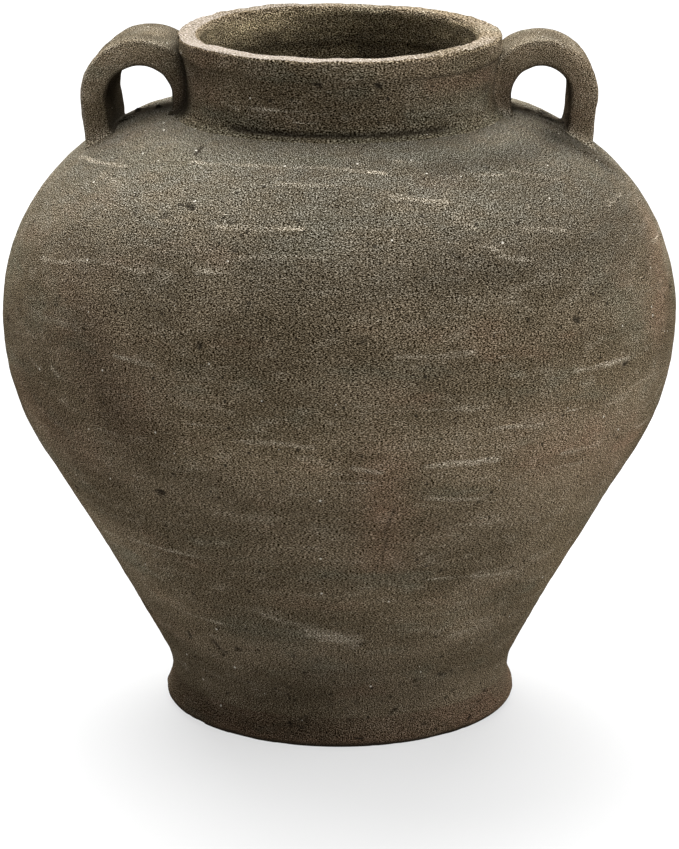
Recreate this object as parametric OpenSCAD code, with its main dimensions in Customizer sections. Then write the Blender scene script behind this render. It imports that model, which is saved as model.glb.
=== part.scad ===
// Two-handled clay vase, put together from nine pieces of clay.
// Millimetres, +Z up, the origin is the centre of the foot at table level.
// The handles stand towards +X and -X, set back a little towards +Y.

/* [Body] */
// Largest diameter, across the belly
belly_d = 295; // [280:1:320]
// Height of the largest diameter above the table
belly_z = 177.5; // [165:0.5:195]
// Radius of the belly curve below the largest diameter
belly_arc_r = 107; // [95:0.5:115]
// Radius of the shoulder curve above the largest diameter
shoulder_arc_r = 89.5; // [84:0.5:95]
// Thickness of the thrown wall
wall = 10; // [7:0.5:12]

/* [Foot] */
// Diameter of the waist just above the foot
waist_d = 151; // [140:1:160]
// Height of the foot, from the table to the waist
foot_h = 13.5; // [11:0.5:18]
// How far the toe of the foot stands out past the waist
foot_flare = 2.5; // [1.5:0.25:5]
// Rounding of the toe
toe_r = 4; // [2.5:0.25:4.5]
// Radius of the hollow curve between the waist and the flank
waist_arc_r = 32; // [20:1:36]
// Thickness of the floor disc
floor_t = 9.5; // [6:0.5:10]
// Width of the ledge under the edge of the floor disc
ledge_w = 7; // [4:0.5:10]

/* [Neck] */
// Height of the neck and rim above the shoulder
neck_h = 33; // [28:0.5:45]
// Inside diameter of the mouth
mouth_d = 119; // [108:1:134]
// Thickness of the neck's wall at its narrowest
neck_wall = 7.5; // [6:0.25:12]
// How far the rim stands out past the neck
rim_overhang = 3.5; // [2:0.25:6]
// Height of the rim coil
rim_h = 9; // [8:0.5:12]
// Rounding of the rim's outer edge
rim_edge_r = 3.5; // [2:0.25:4]
// Rounding of the rim's inner edge
mouth_edge_r = 4.5; // [2:0.25:5]

/* [Handles] */
// Width of the finger hole
hole_w = 27; // [24:0.5:34]
// Width of the strap
strap_w = 36; // [28:1:44]
// Thickness of the strap
strap_t = 11; // [9:0.5:13]
// Rounding of the strap's edges
strap_edge_r = 4; // [2:0.25:4.25]
// Thickness of the inner leg where it lies on the neck
root_t = 6.25; // [3:0.25:8]
// How far the top of the strap lies below the rim
handle_drop = 2.5; // [0:0.25:5]
// Inward lean of the handle's legs, in degrees
leg_lean = 7; // [0:0.5:12]
// How far the middle of the handles is set back from the vase's axis
handle_back = 11; // [0:0.5:14]

/* [Hidden] */

// Facets round the axis, and round the curves of a section
turn_fn = 72;
arc_fn = 60;

// Clay colours, damp dark base to dry pale rim
clay_dark = [0.27, 0.22, 0.16];
clay_body = [0.34, 0.28, 0.21];
clay_light = [0.42, 0.36, 0.28];
clay_rim = [0.62, 0.54, 0.45];

// Radii of the body, and of the neck and rim from the mouth outwards
belly_r = belly_d / 2;
waist_r = waist_d / 2;
mouth_r = mouth_d / 2;
neck_r = mouth_r + neck_wall;
rim_r = neck_r + rim_overhang;

// Heights of the shoulder's crown, the rim's seat and the whole vase
shoulder_z = belly_z + shoulder_arc_r;
vase_h = shoulder_z + neck_h;
rim_z = vase_h - rim_h;

// Centres of the section's curves, as [radius, height]
belly_c = [belly_r - belly_arc_r, belly_z];
shoulder_c = [belly_r - shoulder_arc_r, belly_z];
waist_c = [waist_r + waist_arc_r, foot_h];

// The flank is the straight line that touches the waist curve and the belly curve.
// Its angle is from the vertical, and its normal points outwards and down.
waist_to_belly = belly_c - waist_c;
flank_a = atan2(waist_to_belly[0], waist_to_belly[1])
    + asin((waist_arc_r + belly_arc_r) / norm(waist_to_belly));
flank_n = [cos(flank_a), -sin(flank_a)];
flank_low = waist_c - waist_arc_r * flank_n;
flank_high = belly_c + belly_arc_r * flank_n;

// The foot's hollow curve leaves the waist upright and touches the toe's round
toe_c = [waist_r + foot_flare - toe_r, toe_r];
toe_in = waist_r - toe_c[0];
toe_down = foot_h - toe_r;
foot_arc_r = (toe_in ^ 2 + toe_down ^ 2 - toe_r ^ 2) / (2 * foot_flare);
foot_c = [waist_r + foot_arc_r, foot_h];

// The floor disc ends under the middle of the wall, so the wall stands on disc and foot
floor_r = waist_r - wall / 2;
ledge_r = floor_r - ledge_w;
floor_z = foot_h - floor_t;

// The neck's hollow curve runs from the shoulder's crown to the rim
neck_half_h = (rim_z - shoulder_z) / 2;
neck_arc_r = (neck_half_h ^ 2 + rim_overhang ^ 2) / (2 * rim_overhang);
neck_c = [neck_r + neck_arc_r, shoulder_z + neck_half_h];

// The handle's arch is centred on the finger hole
hole_r = hole_w / 2;
strap_mid_r = hole_r + strap_t / 2;
hole_x = neck_r + root_t + hole_r;
hole_z = vase_h - handle_drop - strap_t - hole_r;
// Its legs run on into the shoulder, where they are cut to its outer face
leg_l = (hole_z - belly_z) / 2;

// Point at a distance and angle from a centre
function polar(centre, r, a) = centre + r * [cos(a), sin(a)];

// Part of a flat ring between two angles, less than a half turn apart
module ring_sector(centre, r_in, r_out, a_from, a_to) {
    a_mid = (a_from + a_to) / 2;
    reach = 2 * r_out;
    intersection() {
        translate(centre) difference() {
            circle(r_out, $fn = arc_fn);
            circle(r_in, $fn = arc_fn);
        }
        polygon([
            centre,
            polar(centre, reach, a_from),
            polar(centre, reach, a_mid),
            polar(centre, reach, a_to)
        ]);
    }
}

// What a rounded corner takes off a square one: the corner lies at the origin,
// with the material towards +X and +Y
module corner_cut(r) {
    difference() {
        square(r);
        translate([r, r]) circle(r, $fn = arc_fn);
    }
}

// Section of the strap: thickness along X, width along Y
module strap_section() {
    difference() {
        square([strap_t, strap_w], center = true);
        for (mx = [0, 1], my = [0, 1])
            mirror([mx, 0]) mirror([0, my])
                translate([-strap_t / 2, -strap_w / 2]) corner_cut(strap_edge_r);
    }
}

// Filled section of the shoulder, out to its outer face
module shoulder_fill() {
    intersection() {
        translate(shoulder_c) circle(shoulder_arc_r, $fn = arc_fn);
        translate([0, belly_z]) square([belly_r, shoulder_arc_r]);
    }
}

// Filled section of the neck and rim, out to their outer face
module neck_fill(top_z) {
    difference() {
        translate([0, belly_z]) square([rim_r, top_z - belly_z]);
        translate(neck_c) circle(neck_arc_r, $fn = arc_fn);
    }
}

// Turns a section about the vase's axis
module turned() {
    rotate_extrude($fn = turn_fn) children();
}

// Base slab, let into the foot
module floor_disc() {
    color(clay_dark)
        translate([0, 0, floor_z]) cylinder(r = floor_r, h = floor_t, $fn = turn_fn);
}

// Flared ring under the wall, with a ledge for the floor disc and a raised underside
module foot_ring() {
    color(clay_dark) turned() difference() {
        union() {
            translate(toe_c) circle(toe_r, $fn = arc_fn);
            difference() {
                polygon([[ledge_r, 0], [toe_c[0], 0], toe_c, foot_c, [ledge_r, foot_h]]);
                translate(foot_c) circle(foot_arc_r, $fn = arc_fn);
            }
        }
        translate([0, floor_z]) square([floor_r, floor_t]);
    }
}

// Thrown cone from the waist up to the seam under the belly
module lower_body() {
    color(clay_body) turned() {
        ring_sector(waist_c, waist_arc_r, waist_arc_r + wall, 180 - flank_a, 180);
        polygon([flank_low, flank_high, flank_high - wall * flank_n, flank_low - wall * flank_n]);
    }
}

// Thrown ring from the seam under the belly up to the widest line
module belly() {
    color(clay_body) turned()
        ring_sector(belly_c, belly_arc_r - wall, belly_arc_r, -flank_a, 0);
}

// Thrown dome from the widest line over the shoulder to the mouth
module shoulder() {
    color(clay_light) turned() intersection() {
        translate(shoulder_c) difference() {
            circle(shoulder_arc_r, $fn = arc_fn);
            circle(shoulder_arc_r - wall, $fn = arc_fn);
        }
        translate([mouth_r, belly_z]) square([belly_r - mouth_r, shoulder_arc_r]);
    }
}

// Hollowed collar that stands on the shoulder's crown
module neck_collar() {
    color(clay_body) turned() difference() {
        neck_fill(rim_z);
        shoulder_fill();
        translate([0, belly_z]) square([mouth_r, rim_z - belly_z]);
    }
}

// Thick flat-topped coil that ends the neck
module rim_coil() {
    color(clay_rim) turned() difference() {
        translate([mouth_r, rim_z]) square([rim_r - mouth_r, rim_h]);
        translate([mouth_r, vase_h]) mirror([0, 1]) corner_cut(mouth_edge_r);
        translate([rim_r, vase_h]) mirror([1, 0]) mirror([0, 1]) corner_cut(rim_edge_r);
    }
}

// Strap bent into an arch, its ends cut to sit on the neck and the shoulder
module strap_handle() {
    difference() {
        translate([hole_x, handle_back, hole_z]) rotate([0, leg_lean, 0]) {
            rotate([90, 0, 0]) rotate_extrude(angle = 180, $fn = turn_fn)
                translate([strap_mid_r, 0]) strap_section();
            translate([strap_mid_r, 0, -leg_l]) linear_extrude(leg_l) strap_section();
            translate([-strap_mid_r, 0, -leg_l]) linear_extrude(leg_l) {
                strap_section();
                translate([-neck_r / 2, -strap_w / 2]) square([neck_r / 2, strap_w]);
            }
        }
        turned() {
            shoulder_fill();
            neck_fill(vase_h);
        }
    }
}

module right_handle() {
    color(clay_body) strap_handle();
}

module left_handle() {
    color(clay_body) mirror([1, 0, 0]) strap_handle();
}

floor_disc();
foot_ring();
lower_body();
belly();
shoulder();
neck_collar();
rim_coil();
left_handle();
right_handle();
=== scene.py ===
"""Looks of a two-handled clay vase: nine pieces of sandy, unglazed clay on a white studio floor."""

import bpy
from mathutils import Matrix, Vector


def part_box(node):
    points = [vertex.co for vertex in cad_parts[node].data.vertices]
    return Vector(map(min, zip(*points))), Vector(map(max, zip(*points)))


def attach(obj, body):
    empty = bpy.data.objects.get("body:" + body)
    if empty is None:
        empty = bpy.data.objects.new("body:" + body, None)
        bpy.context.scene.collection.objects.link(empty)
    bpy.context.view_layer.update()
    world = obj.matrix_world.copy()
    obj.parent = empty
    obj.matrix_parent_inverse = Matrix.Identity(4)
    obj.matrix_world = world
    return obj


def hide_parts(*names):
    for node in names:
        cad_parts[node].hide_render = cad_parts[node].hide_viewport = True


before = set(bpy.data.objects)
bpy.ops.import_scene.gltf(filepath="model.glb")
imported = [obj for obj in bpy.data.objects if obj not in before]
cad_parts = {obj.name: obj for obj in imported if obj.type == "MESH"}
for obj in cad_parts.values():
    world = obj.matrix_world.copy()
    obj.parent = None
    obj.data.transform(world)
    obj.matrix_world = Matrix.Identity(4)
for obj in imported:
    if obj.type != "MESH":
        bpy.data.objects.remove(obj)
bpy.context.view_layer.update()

import math
from collections import namedtuple
from functools import partial
from types import SimpleNamespace

import bpy
import numpy as np
from bpy.props import FloatProperty, FloatVectorProperty, IntProperty, PointerProperty

bl_info = {
    "name": "Clay Vase",
    "version": (1, 0, 0),
    "blender": (4, 5, 0),
    "location": "View3D > Sidebar > Vase",
    "description": "Makes a thrown clay vase with two strap handles, its sandy clay and its stage",
    "category": "Add Mesh",
}

MM = 0.001
TURN = 2 * math.pi
BODY = "root"

# Corners of the solids that the looks are fitted to
FOOT_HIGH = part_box("foot_ring")[1]
SLAB_LOW, SLAB_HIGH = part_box("floor_disc")
BELLY_LOW, BELLY_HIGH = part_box("belly")
SHOULDER_LOW, SHOULDER_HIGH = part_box("shoulder")
RIM_LOW, RIM_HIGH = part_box("rim_coil")
STRAP_LOW, STRAP_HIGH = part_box("right_handle")

# Layers that the shapes hand to the clay: how strongly each finish, or the painted light and shade, shows
# at a point
LAYERS = ("slip", "wear", "soot", "inside", "iron", "ash", "dust", "cloud")

# What a dark and a pale grain of sand do to the clay's colour, as red, green, blue and alpha
DARK_GRAIN = (0.22, 0.17, 0.06, 1.0)
PALE_GRAIN = (1.74, 1.80, 1.92, 1.0)
WHITE = (1.0, 1.0, 1.0, 1.0)

# Cells a metre of the sand, the white grits and the pin holes, how far the sand is pressed together
# along the section, and its depth
SAND_SCALE = 1250.0
GRIT_SCALE = 135.0
PIN_HOLE_SCALE = 230.0
SAND_PRESSED = 2.0
SAND_DEPTH = 0.6 * MM

# Radii of the rolls on which the sand is laid out, how close its rows lie on the neck, how much
# they are shortened on a face that looks up, and how far the sand is spread round the straps
WALL_ROLL = 0.130
LOWER_ROLL = 0.100
NECK_ROLL = 0.060
NECK_ROWS = 0.75
TOP_ROWS = 0.5
STRAP_SPREAD = 1.4

# Steps between the rows of points, the points round a strap, and how many rows of an outer face
# share one row of the inner face
SLAB_STEP = 2 * MM
FOOT_STEP = 0.7 * MM
NECK_STEP = 0.6 * MM
MOUTH_STEP = 0.9 * MM
RIM_STEP = 0.5 * MM
STRAP_STEP = 0.6 * MM
STRAP_COLUMNS = 220
INNER_STRIDE = 4

# Points of the neck's, the rim's and a strap leg's outline before they are spaced evenly
NECK_POINTS = 160
RIM_POINTS = 24
LEG_POINTS = 200

# Steps of the rings that throwing leaves in the wall, the mouth and the slab, and of the lines that
# the cutting wire leaves round a far centre, and the margin in which those on the slab die out
WALL_RINGS = 9 * MM
MOUTH_RINGS = 7 * MM
SLAB_RINGS = 8 * MM
WIRE_LINES = 3.5 * MM
WIRE_CENTRE = (-0.12, 0.05)
SLAB_FADE = 5 * MM

# How the neck's luted base and the rim's spread die away, and how deep the base sits
FADE_START = 2 * MM
BASE_FADE = 2.6 * MM
SPREAD_FADE = 7 * MM
NECK_SINK = 0.6 * MM

# Longest outer leg of a strap, and how deep its outer and inner legs run into the shoulder
LEG_LENGTH = 60 * MM
LEG_SINK = 8 * MM
ROOT_SINK = 5 * MM

# Turn from the front, in degrees, past which streaks and pits, or flushes, are strewn
STREAKS_FROM = 62
FLUSHES_FROM = 80

# Angle that each of the soft lights spans
LIGHT_SPREAD = math.radians(55)

# A run is one face of a turned section: its points as (radius, height), the length along it
# from a fixed start, and the function that gives its relief and its layers
Run = namedtuple("Run", "points along finish")

# A mark runs from one place on the wall to another. Its turns are in degrees from the front, positive
# to the right, and its heights and width in millimetres. Its strength is a depth in millimetres for
# pits, and otherwise a share, which is below 0 for darker clouds.
Mark = namedtuple("Mark", "turn height turn_to height_to width strength")


def placed(*rows):
    """Marks given one by one, each from a row of its six values."""
    return tuple(Mark(*row) for row in rows)


# Pale lines of dried slip left by the turning, and broader scuffs
SLIP_MARKS = placed(
    (-83, 248, -57, 254, 1.2, 0.80), (-64, 249, -51, 247, 2.8, 0.50), (-40, 259, -23, 260, 1.2, 0.90),
    (-23, 260, 0, 260, 1.2, 0.70), (-21, 254, -1, 255, 1.4, 0.60), (-24, 240, -7, 241, 1.2, 1.00),
    (-18, 230, -2, 231, 1.4, 0.90), (-65, 214, -47, 221, 1.2, 0.70), (-47, 221, -36, 221, 1.2, 0.70),
    (-26, 224, -21, 224, 1.2, 0.90), (-39, 186, -31, 186, 1.2, 0.80), (-55, 174, -53, 171, 1.4, 0.80),
    (-71, 179, -60, 184, 1.2, 0.70), (-63, 173, -60, 172, 1.2, 0.80), (1, 260, 11, 258, 1.2, 0.80),
    (15, 261, 25, 260, 1.2, 0.70), (32, 256, 41, 254, 1.2, 0.60), (43, 255, 55, 249, 1.2, 0.60),
    (11, 251, 23, 248, 1.2, 0.90), (23, 244, 26, 239, 2.8, 0.50), (37, 236, 47, 233, 1.2, 0.80),
    (26, 233, 30, 230, 1.4, 0.80), (30, 228, 36, 224, 1.4, 0.90), (36, 219, 43, 217, 1.2, 0.60),
    (15, 209, 21, 207, 1.2, 0.50), (9, 193, 22, 193, 1.2, 0.80), (41, 179, 55, 178, 1.2, 1.00),
    (41, 244, 41, 243, 1.4, 0.70), (-17, 158, -4, 156, 1.4, 0.60), (-51, 95, -31, 94, 1.2, 0.60),
    (-40, 86, -36, 77, 1.2, 0.35), (-48, 61, -32, 58, 1.2, 0.70), (-19, 67, -7, 62, 1.7, 0.60),
    (-8, 60, 4, 55, 4.0, 0.95), (18, 171, 24, 171, 1.4, 0.60), (26, 161, 35, 159, 1.2, 0.70),
    (34, 163, 44, 163, 1.2, 0.50), (14, 146, 27, 146, 1.4, 0.90), (2, 147, 7, 145, 1.4, 0.70),
    (15, 131, 25, 128, 1.2, 0.70), (40, 137, 47, 135, 1.2, 0.50), (20, 86, 42, 82, 1.2, 0.80),
)

# Pits, gouges and wiping strokes in the wall
PIT_MARKS = placed(
    (-42, 261, -43, 263, 1.2, 0.8), (-33, 246, -31, 245, 1.1, 1.0), (-37, 241, -36, 241, 1.5, 0.7),
    (-23, 196, -23, 195, 1.5, 0.9), (-34, 127, -33, 127, 1.4, 1.4), (42, 200, 43, 199, 1.7, 0.9),
    (54, 175, 55, 175, 1.6, 0.8), (20, 231, 22, 228, 1.0, 0.6), (-43, 170, -36, 174, 0.9, 0.4),
    (75, 255, 77, 246, 0.8, 0.6), (77, 253, 79, 243, 0.8, 0.7), (79, 252, 81, 245, 0.8, 0.6),
    (9.7, 127, 8.6, 115, 0.9, 0.60), (8.6, 115, 8.9, 105, 0.9, 0.65), (8.9, 105, 7.0, 91, 0.9, 0.50),
    (-47, 48, -47, 45, 1.3, 0.8), (-38, 47, -36, 43, 1.6, 0.7), (-20, 58, -15, 56, 0.9, 0.5),
    (32, 31, 34, 30, 1.1, 0.8),
)

# Rust-brown and grey-green clouds in the clay
IRON_MARKS = placed(
    (7, 146, 9, 99, 11, 0.60), (80, 222, 68, 190, 13, 0.75), (-70, 150, -50, 140, 14, 0.45),
    (-52, 205, -38, 168, 20, 0.40), (35, 150, 60, 130, 16, 0.40),
)
ASH_MARKS = placed(
    (-26, 262, -2, 262, 6, 0.90), (20, 262, 50, 261, 6, 0.60), (50, 215, 58, 190, 11, 0.50),
    (-28, 60, -10, 58, 8, 0.50),
)

# Painted shade on the shoulder under the two straps, where the marks also raise crumbs of clay
STRAP_SHADE_MARKS = placed(
    (-100, 265, -99, 257, 10, 1.0), (97, 265, 96, 257, 12, 1.0), (87, 261, 84, 257, 5, 0.7),
)

# Broad clouds of paler and darker clay, many of them painted light and shade: paler on the sides of the
# flanks and on the left shoulder, and a painted shadow beside the right strap's foot
LIGHT_AND_TONE_MARKS = placed(
    (-62, 245, -30, 250, 26, 0.08), (50, 250, 75, 235, 24, -0.24), (78, 226, 80, 206, 10, 0.18),
    (-28, 224, -22, 224, 9, 0.20), (-60, 163, -46, 160, 9, 0.20), (25, 259, 78, 259, 9, -0.28),
    (18, 232, 66, 228, 16, -0.14), (-47, 196, -40, 165, 14, -0.27), (-55, 223, 60, 223, 11, -0.14),
    (-20, 168, 60, 160, 24, 0.25), (-24, 152, -4, 150, 12, 0.32), (20, 140, 50, 128, 18, 0.15),
    (42, 178, 58, 170, 14, 0.15), (76, 152, 62, 130, 12, 0.22), (-76, 162, -66, 140, 12, 0.22),
    (-80, 85, 80, 85, 34, 0.06), (-5, 140, 40, 128, 22, 0.12), (-72, 110, -46, 60, 18, 0.26),
    (8, 76, 32, 60, 14, 0.22), (50, 108, 66, 70, 17, 0.28), (76, 257, 84, 246, 12, -0.42),
    (15, 256, 50, 224, 26, -0.04), (-16, 195, 16, 185, 16, -0.08), (-30, 24, 30, 24, 9, -0.18),
    (-8, 36, 8, 36, 8, -0.20),
)

# The same on the neck, and pits in the foot
NECK_SLIP = placed(
    (-48, 278.4, -39, 276.6, 0.9, 0.90), (-34, 277.5, -12, 278.5, 1.5, 0.80),
    (-34, 275, -14, 276, 1.2, 0.65), (-16, 274, -8, 274, 0.9, 0.70), (2, 276, 17, 277, 2.0, 0.55),
    (36, 278, 64, 273, 2.2, 0.50), (100, 279, 150, 277, 3.0, 0.50), (-170, 278, -110, 276, 3.0, 0.50),
)
NECK_PITS = placed(
    (-9, 292, -7, 290, 1.6, 0.8), (13, 290, 14, 289, 1.6, 0.9), (-30, 283, -24, 282, 0.9, 0.4),
    (40, 279, 42, 277, 1.3, 0.5), (120, 285, 122, 284, 1.6, 0.8), (-140, 280, -137, 280, 1.5, 0.7),
)
NECK_IRON = placed((34, 288, 66, 286, 4, 0.55), (-70, 282, -52, 280, 6, 0.4))
NECK_ASH = placed((30, 274, 66, 275, 7, 0.6), (-60, 272, -30, 271, 4, 0.5))
# Paler and darker clouds on the neck, mostly painted light and shade: paler on the left where more light
# falls, darker beside the two straps and across the front
NECK_LIGHT_AND_TONE = placed(
    (-64, 279, -40, 281, 9, 0.22), (-38, 281, -14, 283, 8, 0.15), (62, 288, 76, 280, 9, -0.22),
    (-50, 269, 40, 269, 6, -0.12), (-82, 272, -66, 284, 9, -0.32), (-60, 280, 70, 280, 14, -0.08),
)
FOOT_PITS = placed(
    (-17, 10.5, -16, 10, 0.9, 0.7), (-14, 9.5, -12, 9, 0.9, 0.6), (28, 8, 29, 8, 1.2, 0.6),
)


def length(name, description, default):
    """A size in metres that the sidebar shows as a length."""
    return FloatProperty(name=name, description=description, default=default, min=0.0,
                         precision=5, unit="LENGTH", subtype="DISTANCE")


def angle(name, description, degrees):
    """An angle that the sidebar shows in degrees."""
    return FloatProperty(name=name, description=description, default=math.radians(degrees),
                         unit="ROTATION", subtype="ANGLE")


def strength(name, description, default):
    """A light's strength, in watts a square metre or as a radiance."""
    return FloatProperty(name=name, description=description, default=default, min=0.0)


def colour(name, description, default):
    """A colour that the sidebar shows as a swatch."""
    return FloatVectorProperty(name=name, description=description, default=default, size=3,
                               min=0.0, max=1.0, subtype="COLOR")


class VaseWall(bpy.types.PropertyGroup):
    """Sizes of the thrown wall, the foot and the base slab."""
    belly_radius: length("Belly radius", "Outer radius at the widest line", BELLY_HIGH.x)
    belly_height: length("Belly height", "Height of the widest line", BELLY_HIGH.z)
    seam_height: length("Seam height", "Height of the seam under the belly", BELLY_LOW.z)
    belly_curve: length("Belly curve", "Radius of the curve below the widest line", 107 * MM)
    shoulder_curve: length("Shoulder curve", "Radius of the curve above the widest line",
                           SHOULDER_HIGH.z - SHOULDER_LOW.z)
    waist_radius: length("Waist radius", "Outer radius just above the foot",
                         FOOT_HIGH.x - 2.5 * MM)
    waist_curve: length("Waist curve", "Radius of the hollow curve above the waist", 27 * MM)
    waist_lean: angle("Waist lean", "Outward lean where the flank begins", 27)
    thickness: length("Wall", "Thickness of the thrown wall", 10 * MM)
    foot_height: length("Foot height", "Height of the waist above the table", FOOT_HIGH.z)
    toe_radius: length("Toe radius", "Outer radius of the foot", FOOT_HIGH.x)
    toe_round: length("Toe rounding", "Rounding of the foot's outer edge", 4 * MM)
    slab_radius: length("Slab radius", "Radius of the base slab", SLAB_HIGH.x)
    slab_height: length("Slab height", "Height of the slab's underside", SLAB_LOW.z)
    ledge: length("Ledge", "Width of the ledge that the slab lies on", 7 * MM)
    columns: IntProperty(name="Columns", description="Points round the axis", default=720, min=48)
    step: length("Step", "Distance between the rows of an outer face", 1.25 * MM)


class VaseNeck(bpy.types.PropertyGroup):
    """Sizes of the collar neck and the rim."""
    mouth_radius: length("Mouth radius", "Inner radius of the neck", 59.5 * MM)
    neck_radius: length("Neck radius", "Outer radius at the narrowest", 67 * MM)
    rim_radius: length("Rim radius", "Outer radius of the rim", RIM_HIGH.x)
    rim_low: length("Rim seat", "Height where the rim coil starts", RIM_LOW.z)
    rim_high: length("Rim top", "Height of the rim's flat top", RIM_HIGH.z)
    rim_round: length("Outer rounding", "Rounding of the rim's outer edge", 1.6 * MM)
    mouth_round: length("Inner rounding", "Rounding of the rim's inner edge", 3.2 * MM)
    base_flare: length("Base flare", "How far the luted base spreads on the shoulder", 7.5 * MM)
    groove: length("Groove", "Depth of the line pressed in round the base", 1.3 * MM)


class VaseStraps(bpy.types.PropertyGroup):
    """Sizes of the two strap handles, which differ a little as hand-pulled straps do."""
    thickness: length("Thickness", "Thickness of the straps", 12 * MM)
    outer_round: length("Outer rounding", "Rounding of the straps' outer edges", 4.4 * MM)
    inner_round: length("Inner rounding", "Rounding of the straps' edges at the hole", 2.2 * MM)
    ridge: length("Ridge", "Height of the ridge along the straps' front edges", 0.5 * MM)
    forward: length("Front edge", "How far the front edges stand before the axis", -STRAP_LOW.y)
    left_out: length("Left hole distance", "Distance from the axis to the left hole", 86.5 * MM)
    right_out: length("Right hole distance", "Distance from the axis to the right hole", 86.9 * MM)
    left_hole: length("Left hole", "Width of the left finger hole", 28 * MM)
    right_hole: length("Right hole", "Width of the right finger hole", 25.6 * MM)
    left_top: length("Left top", "Height of the left strap's top", STRAP_HIGH.z + 0.3 * MM)
    right_top: length("Right top", "Height of the right strap's top", STRAP_HIGH.z + 0.3 * MM)
    left_width: length("Left width", "Width of the left strap", 42 * MM)
    right_width: length("Right width", "Width of the right strap", 31 * MM)
    left_skew: angle("Left skew", "Turn of the left strap out of line with the axis", 5.5)
    right_skew: angle("Right skew", "Turn of the right strap out of line with the axis", -0.5)
    left_lean: angle("Left lean", "Inward lean of the left outer leg", 8)
    right_lean: angle("Right lean", "Inward lean of the right outer leg", 6)
    foot_luting: length("Luting", "Spread of the clay pressed round the straps' feet", 3.5 * MM)
    left_luting: length("Left neck luting", "Spread of the clay between strap and neck", 0.8 * MM)
    right_luting: length("Right neck luting", "Spread of the clay between strap and neck", 3 * MM)


class VaseClay(bpy.types.PropertyGroup):
    """Colours of the fired clay."""
    body: colour("Body", "Olive-brown clay", (0.103, 0.078, 0.048))
    shade: colour("Shade", "Darker clouds of the clay", (0.073, 0.0547, 0.0322))
    light: colour("Light", "Paler clouds of the clay", (0.138, 0.111, 0.0745))
    # Greyer clay where faces look up: partly dust, partly a painted sheen of the light from above
    dust: colour("Dust", "Greyer clay on top of the shoulder", (0.089, 0.0792, 0.0585))
    iron: colour("Iron", "Rust-brown flush", (0.140, 0.084, 0.051))
    ash: colour("Ash", "Grey-green flush", (0.082, 0.078, 0.053))
    slip: colour("Slip", "Dried slip and scuffs", (0.225, 0.188, 0.134))
    worn: colour("Worn", "Worn rim and edges", (0.190, 0.162, 0.133))
    grit: colour("Grit", "White grits in the clay", (0.62, 0.58, 0.50))
    # Near-black for the pits, which also paints the shade in corners, crevices, finger holes and under the
    # straps
    soot: colour("Soot", "Dirt in pits and corners", (0.020, 0.016, 0.011))
    ochre: colour("Ochre", "Yellowish clouds inside the neck", (0.225, 0.177, 0.101))
    umber: colour("Umber", "Dark clay inside the neck", (0.122, 0.095, 0.056))


class VaseStage(bpy.types.PropertyGroup):
    """Camera, floor and lights."""
    camera_back: length("Camera distance", "Distance of the camera in front of the axis", 1.680)
    camera_up: length("Camera height", "Height of the camera above the floor", 0.6103)
    camera_pitch: angle("Camera pitch", "How far the camera looks down", 16.15)
    lens: FloatProperty(name="Lens", description="Focal length on a 36 mm sensor", default=167.5,
                        unit="CAMERA", subtype="DISTANCE_CAMERA")
    floor_size: length("Floor", "Side of the square floor", 40.0)
    floor_tone: colour("Floor colour", "Colour of the floor", (0.15, 0.15, 0.15))
    floor_glow: strength("Floor glow", "Light that comes through the floor", 0.65)
    top: strength("Top light", "Strength of the light overhead", 2.95)
    back: strength("Back light", "Strength of the low light behind", 10.3)
    high: strength("High light", "Strength of the high light behind on the left", 3.9)
    side: strength("Side light", "Strength of the low light on the right", 2.6)
    front: strength("Front light", "Strength of the high light in front on the right", 1.2)


def smooth_step(low, high, value):
    """Goes from 0 at low to 1 at high along 3 t^2 - 2 t^3."""
    t = np.clip((value - low) / (high - low), 0.0, 1.0)
    return t * t * (3.0 - 2.0 * t)


def lattice(ix, iy, iz, seed):
    """A repeatable value from -1 to 1 for each corner of a lattice, by mixing its whole numbers."""
    mixed = (ix * 73856093) ^ (iy * 19349663) ^ (iz * 83492791) ^ (seed * 2654435761)
    mixed = ((mixed ^ (mixed >> 13)) * 1274126177) & 0xFFFFFFFF
    mixed = (mixed ^ (mixed >> 16)) & 0xFFFF
    return mixed / 32767.5 - 1.0


def noise(points, scale, seed):
    """Smooth noise from -1 to 1: the values of the eight lattice corners round each point,
    blended along x, y and z by smooth steps. Scale is in cells a metre."""
    place = np.asarray(points) * scale
    corner = np.floor(place)
    part = place - corner
    part = part * part * (3.0 - 2.0 * part)
    corner = corner.astype(np.int64)
    total = 0.0
    for dx in (0, 1):
        share_x = part[..., 0] if dx else 1.0 - part[..., 0]
        for dy in (0, 1):
            share_y = part[..., 1] if dy else 1.0 - part[..., 1]
            for dz in (0, 1):
                share_z = part[..., 2] if dz else 1.0 - part[..., 2]
                value = lattice(corner[..., 0] + dx, corner[..., 1] + dy, corner[..., 2] + dz, seed)
                total = total + value * share_x * share_y * share_z
    return total


def dents(points, *rows):
    """Sum of smooth noises, each from a row of its height, its cells a metre and its seed."""
    return sum(height * noise(points, scale, seed) for height, scale, seed in rows)


def arc(centre, radius, start, end, step=0.25 * MM):
    """Points of an arc: centre plus radius times (cos a, sin a), with a going from start to end."""
    count = max(3, int(abs(end - start) * radius / step))
    a = np.linspace(start, end, count)
    return np.stack([centre[0] + radius * np.cos(a), centre[1] + radius * np.sin(a)], 1)


def joined(*parts):
    """One outline from parts that each start where the one before ends."""
    return np.concatenate([parts[0]] + [part[1:] for part in parts[1:]])


def lengths(points):
    """Length along an outline up to each of its points."""
    return np.concatenate([[0.0], np.cumsum(np.hypot(*np.diff(points, axis=0).T))])


def respaced(points, step):
    """The same outline with its points an even step apart."""
    along = lengths(points)
    even = np.linspace(0.0, along[-1], max(3, int(round(along[-1] / step)) + 1))
    return np.stack([np.interp(even, along, points[:, k]) for k in (0, 1)], 1)


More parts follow.
